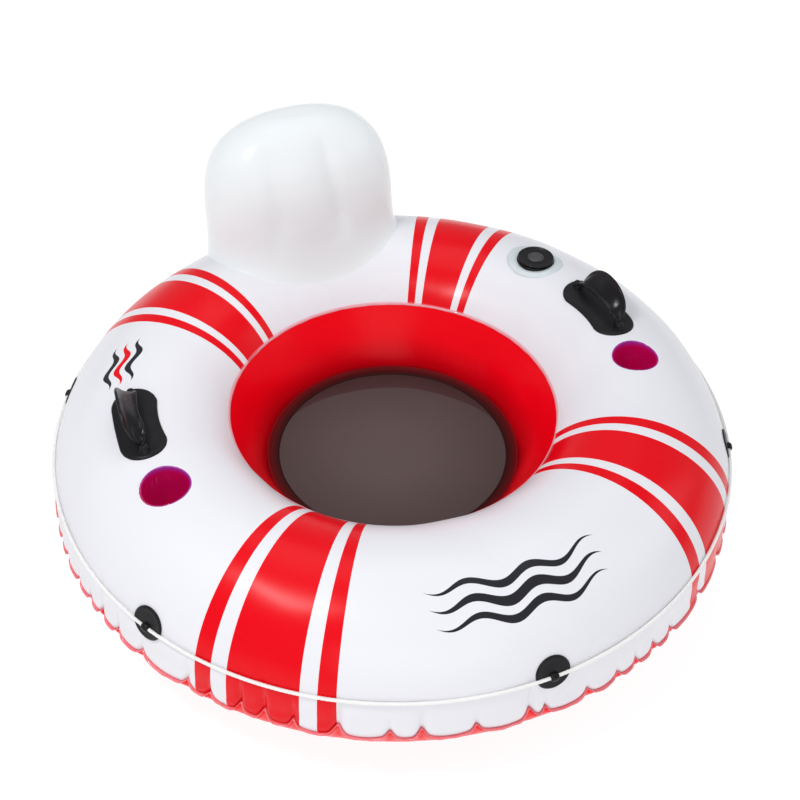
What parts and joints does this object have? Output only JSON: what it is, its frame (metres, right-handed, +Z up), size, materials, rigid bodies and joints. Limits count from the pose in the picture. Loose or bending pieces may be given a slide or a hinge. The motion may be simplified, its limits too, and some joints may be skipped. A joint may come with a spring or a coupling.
{
  "type": "inflatable river tube with backrest",
  "caption": "Round inflatable ring with a mesh seat, inflated backrest, side handles, cup holders, screw valve and a grab rope held by guides.",
  "frame": {"origin": "on the floor, on the ring's axis", "axes": "+Z up; +Y from the ring's middle to the backrest; +X to the right when seen from the front; left and right in names are as seen from the front"},
  "size_m": [1.2109, 1.211, 0.583],
  "materials": {
    "white_pvc": "glossy white PVC sheet, printed with red stripes",
    "red_pvc": "glossy bright red PVC sheet",
    "inner_web": "plain PVC web, not seen",
    "mesh": "fine dark polyester mesh",
    "mesh_strip": "welded PVC strip over the mesh edge",
    "rope": "white braided polypropylene rope",
    "black_rubber": "moulded black PVC with a satin surface",
    "cup_pvc": "translucent tinted PVC, glossy",
    "clear_pvc": "clear bluish flexible PVC",
    "black_plastic": "injection-moulded black plastic"
  },
  "bodies": {
    "ring": {"top_skin": "white_pvc", "backrest_neck": "white_pvc", "backrest_base_weld": "white_pvc", "bottom_skin": "red_pvc", "outer_seam_weld": "red_pvc", "inner_seam_weld": "red_pvc", "mesh_floor": "mesh", "mesh_border": "mesh_strip", "grab_rope": "rope", "rope_knot": "rope", "rope_guide_front": "black_rubber", "rope_guide_front_right": "black_rubber", "rope_guide_rear_right": "black_rubber", "rope_guide_rear": "black_rubber", "rope_guide_rear_left": "black_rubber", "rope_guide_front_left": "black_rubber", "handle_left_patch": "black_rubber", "handle_right_patch": "black_rubber", "cup_left_sleeve": "cup_pvc", "cup_right_sleeve": "cup_pvc", "cup_left_base": "cup_pvc", "cup_right_base": "cup_pvc", "valve_collar": "clear_pvc", "valve_body": "black_plastic"},
    "handle_left_strap_body": {"handle_left_strap": "black_rubber"},
    "handle_right_strap_body": {"handle_right_strap": "black_rubber"},
    "valve_gasket_body": {"valve_gasket": "black_rubber"},
    "valve_cap_body": {"valve_cap": "black_plastic"},
    "valve_flap_body": {"valve_flap": "black_rubber"},
    "backrest": {"backrest_front_skin": "white_pvc", "backrest_rear_skin": "white_pvc", "backrest_baffle_left": "inner_web", "backrest_baffle_right": "inner_web", "backrest_valve_stem": "clear_pvc"},
    "backrest_plug_body": {"backrest_valve_plug": "clear_pvc"}
  },
  "joints": [
    {"name": "handle_left_swing", "type": "hinge", "parent": "ring", "child": "handle_left_strap_body", "pos_m": [-0.44255, 0.04261, 0.33335], "axis": [-0.0958, -0.9954, 0], "range_deg": [-35, 45], "stiffness_Nm_per_rad": 0.15},
    {"name": "handle_right_swing", "type": "hinge", "parent": "ring", "child": "handle_right_strap_body", "pos_m": [0.42121, 0.03093, 0.33365], "axis": [-0.0732, 0.9973, 0], "range_deg": [-35, 45], "stiffness_Nm_per_rad": 0.15},
    {"name": "valve_cap_rise", "type": "slide", "parent": "ring", "child": "valve_gasket_body", "axis": [0.0148, 0.008, 0.9999], "range_m": [0, 0.0081]},
    {"name": "valve_cap_turn", "type": "hinge", "parent": "valve_gasket_body", "child": "valve_cap_body", "pos_m": [0.38208, 0.20573, 0.32533], "axis": [0.0148, 0.008, 0.9999], "range_deg": [0, 720]},
    {"name": "valve_flap_open", "type": "hinge", "parent": "ring", "child": "valve_flap_body", "pos_m": [0.40067, 0.21574, 0.30212], "axis": [0.4741, -0.8805, 0], "range_deg": [0, 40], "stiffness_Nm_per_rad": 0.004},
    {"name": "backrest_lean", "type": "hinge", "parent": "ring", "child": "backrest", "pos_m": [-0.007, 0.471, 0.322], "axis": [-1, 0, 0], "range_deg": [-4, 10], "stiffness_Nm_per_rad": 90, "deforming": ["backrest_neck"]},
    {"name": "backrest_plug_open", "type": "hinge", "parent": "backrest", "child": "backrest_plug_body", "pos_m": [-0.02, 0.5892, 0.4101], "axis": [0, 0, 1], "range_deg": [0, 120], "stiffness_Nm_per_rad": 0.002}
  ],
  "couplings": [
    {"joint": "valve_cap_rise", "follows": "valve_cap_turn", "m_per_rad": 0.00063662}
  ]
}
